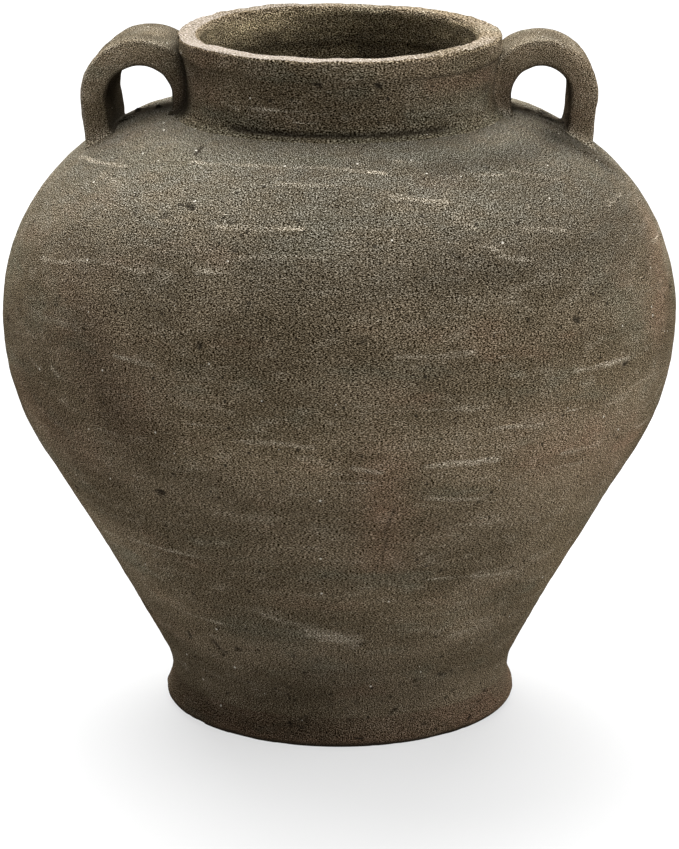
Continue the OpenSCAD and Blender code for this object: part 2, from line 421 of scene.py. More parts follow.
def outward(points):
    """Unit normals to the right of the way along an outline, by its central differences."""
    way = np.gradient(points, axis=0)
    way /= np.linalg.norm(way, axis=1)[:, None]
    return np.stack([way[:, 1], -way[:, 0]], 1)


def shoulder_centre(wall):
    """Centre of the shoulder's curve, as (radius, height)."""
    return np.array([wall.belly_radius - wall.shoulder_curve, wall.belly_height])


def wall_outline(wall, neck):
    """Outer outline of the wall, from the waist to the neck: four arcs that touch.
    The hollow waist curve ends at its lean. The flank is the arc that leaves it there and touches
    the belly circle: with g from the belly's centre to the flank's start, n the outward normal
    there and b the belly radius, its radius is (b^2 - g.g) / (2 (n.g - b))."""
    belly_c = np.array([wall.belly_radius - wall.belly_curve, wall.belly_height])
    shoulder_c = shoulder_centre(wall)
    waist_c = np.array([wall.waist_radius + wall.waist_curve, wall.foot_height])
    normal = np.array([math.cos(wall.waist_lean), -math.sin(wall.waist_lean)])
    start = waist_c - wall.waist_curve * normal
    gap = start - belly_c
    flank_curve = (wall.belly_curve ** 2 - gap @ gap) / (2 * (normal @ gap - wall.belly_curve))
    flank_c = start + flank_curve * normal
    touch = flank_c - belly_c
    steep = math.atan2(-touch[1], touch[0])
    end = math.acos((neck.neck_radius - shoulder_c[0]) / wall.shoulder_curve)
    return joined(
        arc(waist_c, wall.waist_curve, math.pi, math.pi - wall.waist_lean),
        arc(flank_c, flank_curve, math.pi - wall.waist_lean, math.pi - steep),
        arc(belly_c, wall.belly_curve, -steep, 0.0),
        arc(shoulder_c, wall.shoulder_curve, 0.0, end),
    )


def neck_outline(neck, wall, height):
    """Outer radius of the neck at each height: the narrowest radius, plus a luted flare that dies
    away upwards from the shoulder, plus the rim's spread that dies away downwards."""
    crown = wall.belly_height + wall.shoulder_curve
    base = neck.base_flare * np.exp(-np.clip(height - crown + FADE_START, 0, None) / BASE_FADE)
    spread = neck.rim_radius - neck.neck_radius
    top = spread * np.exp(-np.clip(neck.rim_low + FADE_START - height, 0, None) / SPREAD_FADE)
    return neck.neck_radius + base + top


def strokes(marks, turns, along, radius, outline, bend=None, gather=np.maximum):
    """How strongly each point of a wall grid lies on the given marks: for each mark
    strength times exp(-(d / width)^2), with d the distance on the unrolled wall to its line, which
    bend moves up and down. The largest value counts, or what gather makes of them. Marks above or
    below the outline are left out."""
    total = np.zeros((len(along), len(turns)))
    reach = lengths(outline)
    for mark in marks:
        heights = np.array([mark.height, mark.height_to]) * MM
        width = mark.width * MM
        lowest, highest = outline[:, 1].min() - width, outline[:, 1].max() + width
        if heights.max() < lowest or heights.min() > highest:
            continue
        first, last = np.interp(heights, outline[:, 1], reach)
        near = np.abs(along - (first + last) / 2) < abs(last - first) / 2 + 3 * width
        if not near.any():
            continue
        r = radius[near][:, None]
        begin = math.radians(mark.turn)
        swing = math.radians(mark.turn_to) - begin
        over = ((turns[None, :] - begin - swing / 2 + math.pi) % TURN - math.pi) * r
        up = along[near][:, None] - (first + last) / 2
        if bend is not None:
            up = up + bend[near]
        run_over = swing * r
        run_up = last - first
        share = (over * run_over + up * run_up) / (run_over ** 2 + run_up ** 2 + 1e-12)
        share = np.clip(share, -0.5, 0.5)
        far = (over - share * run_over) ** 2 + (up - share * run_up) ** 2
        total[near] = gather(total[near], mark.strength * np.exp(-far / width ** 2))
    return total


def scattered(count, seed, heights, widths, strengths, reach):
    """Marks strewn over the wall by a seeded draw. Reach is the widest swing in degrees."""
    draw = np.random.default_rng(seed)
    turn = draw.uniform(-180, 180, count)
    swing = draw.uniform(0.15, 1.0, count) * reach
    height = draw.uniform(*heights, count)
    slope = draw.normal(0.0, 0.6, count)
    width = draw.uniform(*widths, count)
    amount = draw.uniform(*strengths, count)
    return placed(*zip(turn, height, turn + swing, height + slope, width, amount))


def behind(edge, marks):
    """Those marks that lie more than edge degrees off the front, where few are listed one by one."""
    return tuple(mark for mark in marks if abs((mark.turn + 180) % 360 - 180) > edge)


FAINT_SLIP = scattered(60, seed=3, heights=(30, 258), widths=(1.2, 2.4), strengths=(0.25, 0.5), reach=16)
SMALL_PITS = scattered(130, seed=7, heights=(4, 262), widths=(0.9, 1.6), strengths=(0.25, 0.7), reach=0.8)
LOW_PITS = scattered(70, seed=17, heights=(3, 48), widths=(0.5, 0.9), strengths=(0.5, 1.0), reach=2.0)
BACK_SLIP = behind(STREAKS_FROM, scattered(
    46, seed=5, heights=(45, 260), widths=(1.2, 2.2), strengths=(0.35, 0.75), reach=18))
BACK_PITS = behind(STREAKS_FROM, scattered(
    26, seed=9, heights=(20, 260), widths=(1.2, 2.0), strengths=(0.6, 1.1), reach=3))
BACK_IRON = behind(FLUSHES_FROM, scattered(
    9, seed=11, heights=(40, 240), widths=(10, 18), strengths=(0.4, 0.7), reach=25))
BACK_ASH = behind(FLUSHES_FROM, scattered(
    9, seed=13, heights=(40, 255), widths=(8, 16), strengths=(0.4, 0.7), reach=25))


def from_turn(turns, degrees):
    """Turn of each column from the given one, within half a turn to either side."""
    return (turns - math.radians(degrees) + math.pi) % TURN - math.pi


def on_circle(turns):
    """Point of a circle for each turn, for noise that closes round the axis."""
    return np.stack([np.sin(turns), np.cos(turns), 0 * turns], 1)


def hand_relief(base):
    """Unevenness of hand-worked clay: out of round by low waves round the axis, soft dents, and
    finer noise down to a few millimetres."""
    turns = np.arctan2(base[..., 0], -base[..., 1])
    waves = 0.30 * np.sin(2 * turns + 0.7) + 0.22 * np.sin(3 * turns + 25 * base[..., 2] + 2.0)
    uneven = dents(base, (0.40, 24, 11), (0.22, 70, 12), (0.13, 170, 13), (0.10, 360, 14))
    return MM * (waves + uneven)


def turning_lines(base, along):
    """Faint rings of the turning: noise that runs round the axis and changes quickly along the wall,
    strong in some stretches and gone in others."""
    stretched = np.stack([0.09 * base[..., 0], 0.09 * base[..., 1], along + 0 * base[..., 2]], -1)
    shows = smooth_step(-0.4, 0.7, noise(base, 20, 21))
    return 0.16 * MM * shows * noise(stretched, 240, 22)


def outer_wall(outline):
    """Relief and layers of the wall's outer face, as a function for turned()."""
    def finish(base, turns, points, along):
        on_wall = partial(strokes, turns=turns, along=along, radius=points[:, 0], outline=outline)
        bend = MM * dents(base, (1.1, 40, 24), (0.6, 130, 25))
        slip = on_wall(SLIP_MARKS + BACK_SLIP + FAINT_SLIP, bend=bend)
        slip = slip * (0.6 + 0.4 * smooth_step(-0.5, 0.3, noise(base, 60, 26)))
        pits = on_wall(PIT_MARKS + SMALL_PITS + LOW_PITS + BACK_PITS)
        # Painted shade under the straps; the same marks raise crumbs there
        under_strap = on_wall(STRAP_SHADE_MARKS)
        crumbs = under_strap * np.clip(noise(base, 330, 28) - 0.1, 0, None)
        lift = hand_relief(base) + turning_lines(base, along[:, None])
        lift += MM * (0.14 * slip - pits + 2.2 * crumbs)
        # Greyer where the face looks up: partly dust, partly a painted sheen of the light from above
        dust = smooth_step(0.15, 0.95, outward(points)[:, 1:])
        layers = {
            "slip": slip,
            "soot": np.maximum(smooth_step(0.25, 0.9, pits), under_strap),
            "iron": on_wall(IRON_MARKS + BACK_IRON),
            "ash": on_wall(ASH_MARKS + BACK_ASH),
            "dust": np.repeat(dust, len(turns), 1),
            # Clouds of paler and darker clay, many of them painted light and shade
            "cloud": on_wall(LIGHT_AND_TONE_MARKS, gather=np.add),
        }
        return lift, layers
    return finish


def inner_wall(base, turns, points, along):
    """Relief and layers of the inside: throwing rings that climb as a spiral, over soft dents."""
    rings = np.sin(TURN * along[:, None] / WALL_RINGS + turns[None, :])
    lift = MM * (0.35 * rings + dents(base, (0.4, 30, 31), (0.15, 120, 32)))
    return lift, {"inside": np.ones(lift.shape)}


def flat_joint(base, turns, points, along):
    """A hidden face where two pieces are luted: no relief and no layers."""
    return np.zeros(base.shape[:2]), {}


def grain_rows(along, normals):
    """Place of the rows of sand along a section: the sum of its steps, each shortened by the share
    of the normal that looks up, so that the grains are longer on top of the shoulder."""
    close = 1.0 - TOP_ROWS * np.clip(normals[:, 1], 0.0, 1.0)
    steps = np.diff(along) * (close[1:] + close[:-1]) / 2
    return along[0] + np.concatenate([[0.0], np.cumsum(steps)])


def turned(runs, columns, roll=WALL_ROLL, rows=1.0):
    """Carries a closed section round the axis: a point at radius r and height z goes to
    (r sin a, -r cos a, z) for each turn a, then moves along the section's normal by its relief.
    Returns the grid of points, its layers and the numbers of the rows with a hard edge. The layer
    rings holds each point's place on a roll of an even radius: x, y and the length along the
    section."""
    turns = np.linspace(0.0, TURN, columns, endpoint=False)
    grid = []
    layers = {name: [] for name in (*LAYERS, "rings")}
    hard = []
    count = 0
    for run in runs:
        normals = outward(run.points)
        spin = np.stack([np.sin(turns), -np.cos(turns)], 1)
        base = np.empty((len(run.points), columns, 3))
        base[..., :2] = run.points[:, None, :1] * spin[None]
        base[..., 2] = run.points[:, 1][:, None]
        rings = np.empty(base.shape)
        rings[..., :2] = roll * spin[None]
        rings[..., 2] = rows * grain_rows(run.along, normals)[:, None]
        layers["rings"].append(rings)
        lift, shown = run.finish(base, turns, run.points, run.along)
        base[..., :2] += (lift * normals[:, :1])[..., None] * spin[None]
        base[..., 2] += lift * normals[:, 1:]
        grid.append(base)
        for name in LAYERS:
            layers[name].append(shown.get(name, np.zeros(lift.shape)))
        hard += [count, count + len(run.points) - 1]
        count += len(run.points)
    return np.concatenate(grid), {n: np.concatenate(v) for n, v in layers.items()}, hard


def grid_faces(rows, columns, wrap):
    """Four-sided faces of a grid that closes round its columns, and round its rows where wrap is set."""
    i = np.arange(rows if wrap else rows - 1)[:, None]
    j = np.arange(columns)[None, :]
    up = (i + 1) % rows * columns
    row = i * columns
    beside = (j + 1) % columns
    return np.stack([row + j, row + beside, up + beside, up + j], -1).reshape(-1, 4)


def end_fans(rows, columns):
    """Three-sided faces that close the first and last row of a grid at two added points."""
    j = np.arange(columns)
    beside = (j + 1) % columns
    last = (rows - 1) * columns
    first_point = rows * columns
    low = np.stack([np.full(columns, first_point), beside, j], -1)
    high = np.stack([np.full(columns, first_point + 1), last + j, last + beside], -1)
    return np.concatenate([low, high])


def signed_volume(points, faces):
    """Six times the volume inside the faces: positive where they point outwards."""
    total = 0.0
    for block in faces:
        for k in range(1, block.shape[1] - 1):
            a, b, c = (points[block[:, n]] for n in (0, k, k + 1))
            total += np.einsum("ij,ij->", a, np.cross(b, c))
    return total


def clay_piece(name, node, grid, layers, hard=(), wrap=True):
    """Makes the object for one piece from its grid of points, closes it, gives it the clay and
    lets it stand for its solid. Where wrap is off, fans close the two ends."""
    rows, columns = grid.shape[:2]
    points = grid.reshape(-1, 3)
    faces = [grid_faces(rows, columns, wrap)]
    flat = {layer: layers[layer].ravel() for layer in LAYERS}
    rings = layers["rings"].reshape(-1, 3)
    if not wrap:
        points = np.concatenate([points, [grid[0].mean(0), grid[-1].mean(0)]])
        rings = np.concatenate([rings, [rings[:columns].mean(0), rings[-columns:].mean(0)]])
        faces.append(end_fans(rows, columns))
        flat = {k: np.concatenate([v, v[:1], v[-1:]]) for k, v in flat.items()}
    if signed_volume(points, faces) < 0:
        faces = [block[:, ::-1] for block in faces]
    corners = np.concatenate([block.ravel() for block in faces])
    sides = np.concatenate([np.full(len(block), block.shape[1]) for block in faces])
    mesh = bpy.data.meshes.new(name)
    mesh.vertices.add(len(points))
    mesh.vertices.foreach_set("co", points.astype(np.float32).ravel())
    mesh.loops.add(len(corners))
    mesh.loops.foreach_set("vertex_index", corners.astype(np.int32))
    mesh.polygons.add(len(sides))
    mesh.polygons.foreach_set("loop_start", (np.cumsum(sides) - sides).astype(np.int32))
    mesh.update(calc_edges=True)
    mesh.polygons.foreach_set("use_smooth", np.ones(len(sides), bool))
    for layer in LAYERS:
        store = mesh.attributes.new(layer, "FLOAT", "POINT")
        store.data.foreach_set("value", flat[layer].astype(np.float32))
    store = mesh.attributes.new("rings", "FLOAT_VECTOR", "POINT")
    store.data.foreach_set("vector", rings.astype(np.float32).ravel())
    if len(hard):
        ends = np.empty(2 * len(mesh.edges), np.int32)
        mesh.edges.foreach_get("vertices", ends)
        row = ends.reshape(-1, 2) // columns
        sharp = (row[:, 0] == row[:, 1]) & np.isin(row[:, 0], hard)
        mesh.attributes.new("sharp_edge", "BOOLEAN", "EDGE").data.foreach_set("value", sharp)
    if mesh.validate():
        raise RuntimeError(f"the mesh of {name} had faulty faces")
    mesh.materials.append(clay_material())
    piece = bpy.data.objects.new(name, mesh)
    bpy.context.scene.collection.objects.link(piece)
    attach(piece, BODY)
    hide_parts(node)


def wall_part(wall, neck, low, high):
    """Runs of one ring of the wall between two heights of its outer face: the outer face upwards
    and, a wall's thickness inside it, the inner face downwards."""
    outline = wall_outline(wall, neck)
    reach = lengths(outline)
    ends = np.interp([low, high], outline[:, 1], reach)
    count = max(3, int(round((ends[1] - ends[0]) / wall.step)) + 1)
    along = np.linspace(*ends, count)
    outer = np.stack([np.interp(along, reach, outline[:, k]) for k in (0, 1)], 1)
    inside = outer - wall.thickness * outward(outer)
    inner = inside[::-INNER_STRIDE]
    if not np.allclose(inner[-1], inside[0]):
        inner = np.concatenate([inner, inside[:1]])
    return [Run(outer, along, outer_wall(outline)), Run(inner, -lengths(inner), inner_wall)]


class VASE_OT_base_slab(bpy.types.Operator):
    """Roll out the base slab inside the foot"""
    bl_idname = "vase.base_slab"
    bl_label = "Base Slab"

    def execute(self, context):
        wall = context.scene.vase_wall
        low, high, edge = wall.slab_height, wall.foot_height, wall.slab_radius
        under = respaced(np.array([[SLAB_STEP, low], [edge, low]]), SLAB_STEP)
        top = respaced(np.array([[edge, high], [SLAB_STEP, high]]), SLAB_STEP)
        runs = [Run(under, lengths(under), slab_underside), Run(top, lengths(top), slab_top)]
        grid, layers, hard = turned(runs, wall.columns // 2)
        clay_piece("base_slab", "floor_disc", grid, layers, hard[1:3], wrap=False)
        return {"FINISHED"}


def slab_underside(base, turns, points, along):
    """Relief of the slab's underside: shallow curved lines of the cutting wire, over soft dents."""
    far = np.hypot(base[..., 0] - WIRE_CENTRE[0], base[..., 1] - WIRE_CENTRE[1])
    fade = smooth_step(0.0, SLAB_FADE, along[-1] - along)[:, None]
    lines = np.sin(TURN * far / WIRE_LINES)
    lift = MM * fade * (0.10 * lines + dents(base, (0.35, 40, 41), (0.12, 200, 42)))
    return lift, {"iron": np.full(lift.shape, 0.5)}


def slab_top(base, turns, points, along):
    """Relief of the slab's top: the spiral ridge left by the fingers, dying out at the edge."""
    spiral = np.sin(TURN * points[:, :1] / SLAB_RINGS - turns[None, :])
    fade = smooth_step(0.0, SLAB_FADE, along)[:, None]
    lift = MM * fade * (0.4 * spiral + dents(base, (0.3, 40, 43), (0.12, 160, 44)))
    return lift, {"inside": np.ones(lift.shape)}


class VASE_OT_foot_ring(bpy.types.Operator):
    """Turn the flared foot ring"""
    bl_idname = "vase.foot_ring"
    bl_label = "Foot Ring"

    def execute(self, context):
        wall = context.scene.vase_wall
        # The hollow curve leaves the waist upright and touches the toe's round. With the toe's centre
        # i inward of the waist and d below it, t the toe's round and f the flare, its radius is
        # (i^2 + d^2 - t^2) / (2 f).
        toe_c = np.array([wall.toe_radius - wall.toe_round, wall.toe_round])
        inward = wall.waist_radius - toe_c[0]
        down = wall.foot_height - toe_c[1]
        flare = wall.toe_radius - wall.waist_radius
        hollow = (inward ** 2 + down ** 2 - wall.toe_round ** 2) / (2 * flare)
        hollow_c = np.array([wall.waist_radius + hollow, wall.foot_height])
        meet = math.atan2(*(hollow_c - toe_c)[::-1])
        ledge = wall.slab_radius - wall.ledge
        outer = joined(
            np.array([[ledge, 0.0], [toe_c[0], 0.0]]),
            arc(toe_c, wall.toe_round, -math.pi / 2, meet),
            arc(hollow_c, hollow, math.pi + meet, math.pi),
        )
        outer = respaced(outer, FOOT_STEP)
        inner = np.array([
            [wall.slab_radius, wall.foot_height],
            [wall.slab_radius, wall.slab_height],
            [ledge, wall.slab_height],
        ])
        runs = [Run(outer, lengths(outer), foot_face), Run(inner, lengths(inner), flat_joint)]
        grid, layers, hard = turned(runs, wall.columns, LOWER_ROLL)
        clay_piece("turned_foot", "foot_ring", grid, layers, hard + [len(outer) + 1])
        return {"FINISHED"}


def foot_face(base, turns, points, along):
    """Relief and layers of the foot: the wall's unevenness, with small chips out of the toe. The
    underside stays flat, so the relief fades in above the table."""
    height = points[:, 1][:, None]
    rise = smooth_step(0.2 * MM, 4 * MM, height)
    toe = smooth_step(8 * MM, 1 * MM, height) * smooth_step(0.0, 0.5 * MM, height)
    chips = toe * np.clip(noise(base, 130, 51) - 0.35, 0, None)
    pits = strokes(FOOT_PITS + SMALL_PITS + LOW_PITS, turns, along, points[:, 0], points)
    lift = rise * (hand_relief(base) - MM * pits) - 1.6 * MM * chips
    lift += rise * 0.15 * MM * noise(base, 240, 52)
    # The foot is darker all over, a little less upwards, and near black in its lowest few millimetres
    lowest_band = smooth_step(3.6 * MM, 1.5 * MM, height)
    layers = {
        "iron": 0.45 + 0.5 * smooth_step(10 * MM, 0.5 * MM, height) + 0.25 * noise(base, 45, 53),
        "cloud": -0.36 + 0.12 * smooth_step(2 * MM, 13 * MM, height) + 0 * lift,
        "soot": np.maximum(smooth_step(0.2, 0.8, pits), 0.95 * lowest_band),
    }
    return lift, layers


class VASE_OT_thrown_wall(bpy.types.Operator):
    """Throw the three rings of the wall: the lower body, the belly and the shoulder"""
    bl_idname = "vase.thrown_wall"
    bl_label = "Thrown Wall"

    def execute(self, context):
        wall, neck = context.scene.vase_wall, context.scene.vase_neck
        crown = wall_outline(wall, neck)[-1, 1]
        heights = (wall.foot_height, wall.seam_height, wall.belly_height, crown)
        rolls = {"lower_body": LOWER_ROLL, "belly": WALL_ROLL, "shoulder": WALL_ROLL}
        for (node, roll), low, high in zip(rolls.items(), heights, heights[1:]):
            grid, layers, hard = turned(wall_part(wall, neck, low, high), wall.columns, roll)
            clay_piece(f"thrown_{node}", node, grid, layers, hard)
        return {"FINISHED"}


class VASE_OT_neck_collar(bpy.types.Operator):
    """Build up the collar on the shoulder's crown"""
    bl_idname = "vase.neck_collar"
    bl_label = "Neck Collar"

    def execute(self, context):
        wall, neck = context.scene.vase_wall, context.scene.vase_neck
        straps = context.scene.vase_straps
        # The collar starts where the full flare of its base meets the shoulder's curve
        shoulder_c = shoulder_centre(wall)
        start_r = neck.neck_radius + neck.base_flare
        start_z = shoulder_c[1] + math.sqrt(wall.shoulder_curve ** 2 - (start_r - shoulder_c[0]) ** 2)
        height = np.linspace(start_z - NECK_SINK, neck.rim_low, NECK_POINTS)
        outer = np.stack([neck_outline(neck, wall, height), height], 1)
        outer = respaced(outer, NECK_STEP)
        low = start_z - wall.thickness
        inner = np.array([[neck.mouth_radius, neck.rim_low], [neck.mouth_radius, low]])
        inner = respaced(inner, MOUTH_STEP)
        along = lengths(outer) - lengths(outer)[-1]
        runs = [Run(outer, along, neck_face(neck, wall, straps)),
                Run(inner, inner[:, 1], mouth_face(neck))]
        grid, layers, hard = turned(runs, wall.columns, NECK_ROLL, NECK_ROWS)
        clay_piece("collar_neck", "neck_collar", grid, layers, hard)
        return {"FINISHED"}


def strap_line(straps, radius):
    """Turn at which the left strap's front edge meets a wall of that radius."""
    return math.asin(straps.forward / radius) - math.pi / 2


def seat_line(base, far, width):
    """Broken line where the rim coil sits on the neck: exp(-(far / width)^2), in stretches."""
    return np.exp(-(far / width) ** 2) * smooth_step(-0.3, 0.5, noise(base, 30, 62))


def neck_face(neck, wall, straps):
    """Relief and layers of the neck's outer face, as a function for turned()."""
    crown = wall.belly_height + wall.shoulder_curve
    seam = math.degrees(strap_line(straps, neck.neck_radius))
    crease = placed((seam + 1.8, 266, seam + 0.6, 292, 2.6, 1.1))
    # Painted shade in the crevices where the two straps meet the neck, deepest beside the left one
    crevice_shade = placed(
        (81, 266, 82, 288, 5.0, 0.55), (seam + 7, 269, seam + 5, 282, 6.5, 1.0),
        (seam + 4, 282, seam + 3, 294, 5.5, 1.0),
    )

    def finish(base, turns, points, along):
        on_neck = partial(strokes, turns=turns, along=lengths(points), radius=points[:, 0], outline=points)
        height = points[:, 1:]
        pits = on_neck(NECK_PITS + crease)
        slip = on_neck(NECK_SLIP) * (0.5 + 0.5 * smooth_step(-0.3, 0.3, noise(base, 190, 64)))
        patchy = 0.6 + 0.7 * smooth_step(-0.4, 0.4, noise(base, 120, 65))
        stretches = 0.45 * noise(on_circle(turns), 2.2, 61) + np.cos(1.6 * from_turn(turns, 0))
        line = np.exp(-((height - crown - 1.6 * MM) / (0.9 * MM)) ** 2)
        line = line * smooth_step(0.05, 0.55, stretches)[None, :]
        seat = seat_line(base, height - neck.rim_low + 0.8 * MM, 0.7 * MM)
        lift = hand_relief(base) + turning_lines(base, along[:, None])
        lift += 0.12 * MM * noise(base, 300, 63)
        lift -= MM * (pits + 0.3 * seat) + neck.groove * line
        # Darker in the pits, in the crease beside the left strap and along the pressed line round the base
        darkened = np.maximum(smooth_step(0.25, 0.9, pits), 0.8 * line)
        layers = {
            "slip": slip,
            "soot": np.maximum(darkened, on_neck(crevice_shade)),
            "iron": on_neck(NECK_IRON),
            "ash": np.maximum(0.6 * smooth_step(7 * MM, 0.0, height - crown), on_neck(NECK_ASH)),
            "cloud": on_neck(NECK_LIGHT_AND_TONE, gather=np.add) * patchy,
        }
        return lift, layers
    return finish


def mouth_light_and_shade(turns, depth):
    """Painted light and shade on the inside of the mouth: paler near the rim at the back, most on the
    left, darker on the left side, and darker further down as painted shade deeper in the neck."""
    left = np.exp(-(from_turn(turns, -140) / 0.5) ** 2)
    right = np.exp(-(from_turn(turns, 126) / 0.4) ** 2)
    end = np.exp(-(from_turn(turns, -80) / 0.5) ** 2)
    low = smooth_step(4 * MM, 16 * MM, depth)
    return (0.9 * left + 0.5 * right - 0.3 * end - 0.25)[None, :] * (1.0 - low) - 0.52 * low


def mouth_face(neck):
    """Relief and layers of the neck's inside, which shows through the mouth."""
    def finish(base, turns, points, along):
        rings = np.sin(TURN * along[:, None] / MOUTH_RINGS + turns[None, :])
        depth = (neck.rim_high - points[:, 1])[:, None]
        below = smooth_step(9 * MM, 15 * MM, depth)
        lift = hand_relief(base) + MM * below * (0.15 * rings + 0.16 * noise(base, 150, 72))
        return lift, {"inside": np.ones(lift.shape), "cloud": mouth_light_and_shade(turns, depth)}
    return finish


class VASE_OT_rim_coil(bpy.types.Operator):
    """Lay the thick rim coil on the neck"""
    bl_idname = "vase.rim_coil"
    bl_label = "Rim Coil"

    def execute(self, context):
        wall, neck = context.scene.vase_wall, context.scene.vase_neck
        # One face: up the side, round the outer edge, over the flat top, round the inner edge and down
        height = np.linspace(neck.rim_low, neck.rim_high - neck.rim_round, RIM_POINTS)
        side = np.stack([neck_outline(neck, wall, height), height], 1)
        outer_c = (side[-1, 0] - neck.rim_round, neck.rim_high - neck.rim_round)
        inner_c = (neck.mouth_radius + neck.mouth_round, neck.rim_high - neck.mouth_round)
        face = joined(
            side,
            arc(outer_c, neck.rim_round, 0.0, math.pi / 2),
            np.array([[outer_c[0], neck.rim_high], [inner_c[0], neck.rim_high]]),
            arc(inner_c, neck.mouth_round, math.pi / 2, math.pi),
            np.array([[neck.mouth_radius, inner_c[1]], [neck.mouth_radius, neck.rim_low]]),
        )
        face = respaced(face, RIM_STEP)
        runs = [Run(face, lengths(face), rim_face(neck, context.scene.vase_straps))]
        grid, layers, hard = turned(runs, wall.columns, NECK_ROLL, NECK_ROWS)
        clay_piece("coiled_rim", "rim_coil", grid, layers, hard)
        return {"FINISHED"}


def rim_face(neck, straps):
    """Relief and layers of the rim: a wavy top, chips out of both edges, wear on what is touched,
    painted shade where the left strap meets it, and the mouth's painted light and shade inside.
    """
    strap_turn = math.degrees(strap_line(straps, neck.rim_radius))

    def finish(base, turns, points, along):
        normals = outward(points)
        sideways = normals[:, :1]
        facing_up = np.clip(normals[:, 1:], 0, 1)
        depth = neck.rim_high - points[:, 1:]
        wave = dents(on_circle(turns), (0.55, 1.7, 81), (0.3, 5.0, 82))
        edge = np.exp(-((normals[:, 1:] - 0.72) / 0.25) ** 2)
        chips = edge * np.clip(noise(base, 120, 83) - 0.3, 0, None)
        inside = smooth_step(-0.35, -0.9, sideways) * smooth_step(0.8 * MM, 3.5 * MM, depth)
        inside = np.repeat(inside, len(turns), 1)
        aside = from_turn(turns, strap_turn)[None, :] * neck.rim_radius
        seam = np.exp(-(aside / (3.8 * MM)) ** 2) * smooth_step(0.2, 0.8, sideways)
        seat = seat_line(base, along[:, None], 0.8 * MM)
        rough = dents(base, (0.18, 90, 84), (0.12, 320, 85)) * (1.0 - inside)
        lift = hand_relief(base) + MM * (wave[None, :] * facing_up - 1.5 * chips + rough)
        lift -= MM * (0.3 * seat + 0.8 * seam)
        rubbed = 0.75 + 0.35 * smooth_step(-0.4, 0.5, noise(base, 34, 87))
        rubbed = rubbed * (1.0 - 0.45 * smooth_step(0.35, 0.8, np.sin(turns)))[None, :]
        rubbed = rubbed * (1.0 - 0.35 * smooth_step(0.2, 0.9, -np.cos(turns)))[None, :]
        crest = smooth_step(0.75, 0.97, facing_up)
        crest = crest * np.where(sideways > 0, 1.0, smooth_step(0.9, 1.0, facing_up))
        layers = {
            "wear": crest * rubbed,
            # Painted shade in the crevice where the left strap meets the rim
            "soot": 0.95 * seam,
            "inside": inside,
            "cloud": inside * mouth_light_and_shade(turns, depth),
            "iron": 0.3 * smooth_step(0.1, 0.6, noise(base, 26, 86)) * (1 - facing_up),
        }
        return lift, layers
    return finish


def strap_section(width, straps, count):
    """Section of a strap as (across its thickness, across its width) and its outward normals: a
    rectangle with rounded corners, walked at an even pace. The outer edges are rounder."""
    half = straps.thickness / 2
    corners = ((1, 1, 0.0), (-1, 1, 0.5), (-1, -1, 1.0), (1, -1, 1.5))
    parts = []
    for out, over, start in corners:
        rounding = straps.outer_round if out > 0 else straps.inner_round
        centre = (out * (half - rounding), over * (width / 2 - rounding))
        parts.append(arc(centre, rounding, start * math.pi, (start + 0.5) * math.pi))
    ring = np.concatenate(parts + [parts[0][:1]])
    section = respaced(ring, lengths(ring)[-1] / count)[:-1]
    beyond = np.concatenate([section[-1:], section, section[:1]])
    return section, outward(beyond)[1:-1]


def strap_path(out, hole_r, top, lean, straps, wall):
    """Middle line of a strap as (distance from the axis, height): up the neck, over the finger hole
    on an arc that runs on until it leans inwards, and down into the shoulder."""
    middle = hole_r + straps.thickness / 2
    hole = np.array([out, top - straps.thickness - hole_r])
    crown = wall.belly_height + wall.shoulder_curve
    over = arc(hole, middle, math.pi, -lean)
    inner = np.array([[hole[0] - middle, crown - ROOT_SINK], [hole[0] - middle, hole[1]]])
    down = np.linspace(0.0, LEG_LENGTH, LEG_POINTS)[:, None]
    leg = over[-1] + down * np.array([-math.sin(lean), -math.cos(lean)])
    depth = wall.shoulder_curve - np.linalg.norm(leg - shoulder_centre(wall), axis=1)
    return joined(inner, over, leg[depth < LEG_SINK])


def pressed_out(points, ways, gap, face, reach):
    """Moves points of a strap sideways along a wall as pressed clay, by a fillet of radius R = reach:
    at a gap g from the wall the spread is R (1 - sqrt(1 - (1 - g / R)^2)). Face is the wall's normal."""
    near = np.clip(1.0 - gap / reach, 0.0, 1.0)
    spread = reach * (1.0 - np.sqrt(1.0 - near * near))
    along = ways - (ways * face).sum(-1, keepdims=True) * face
    along /= np.linalg.norm(along, axis=-1, keepdims=True) + 1e-6
    return points + spread[..., None] * along


def shoulder_gap(points, wall):
    """Distance of each point outside the shoulder, and the shoulder's normal there."""
    r = np.hypot(points[..., 0], points[..., 1])
    away = np.stack([r, points[..., 2]], -1) - shoulder_centre(wall)
    far = np.linalg.norm(away, axis=-1)
    away = away / far[..., None]
    face = np.concatenate([points[..., :2] / r[..., None] * away[..., :1], away[..., 1:]], -1)
    return far - wall.shoulder_curve, face


def neck_gap(points, wall, neck):
    """Distance of each point outside the neck, and the neck's normal there, which is level."""
    r = np.hypot(points[..., 0], points[..., 1])
    face = np.concatenate([points[..., :2] / r[..., None], 0 * points[..., 2:]], -1)
    return r - neck_outline(neck, wall, points[..., 2]), face


class VASE_OT_strap_handles(bpy.types.Operator):
    """Pull the two strap handles and lute them on"""
    bl_idname = "vase.strap_handles"
    bl_label = "Strap Handles"

    def execute(self, context):
        for name, side, seed in (("left", -1, 101), ("right", 1, 131)):
            grid, layers = strap(context.scene, name, side, seed)
            clay_piece(f"{name}_strap", f"{name}_handle", grid, layers, wrap=False)
        return {"FINISHED"}


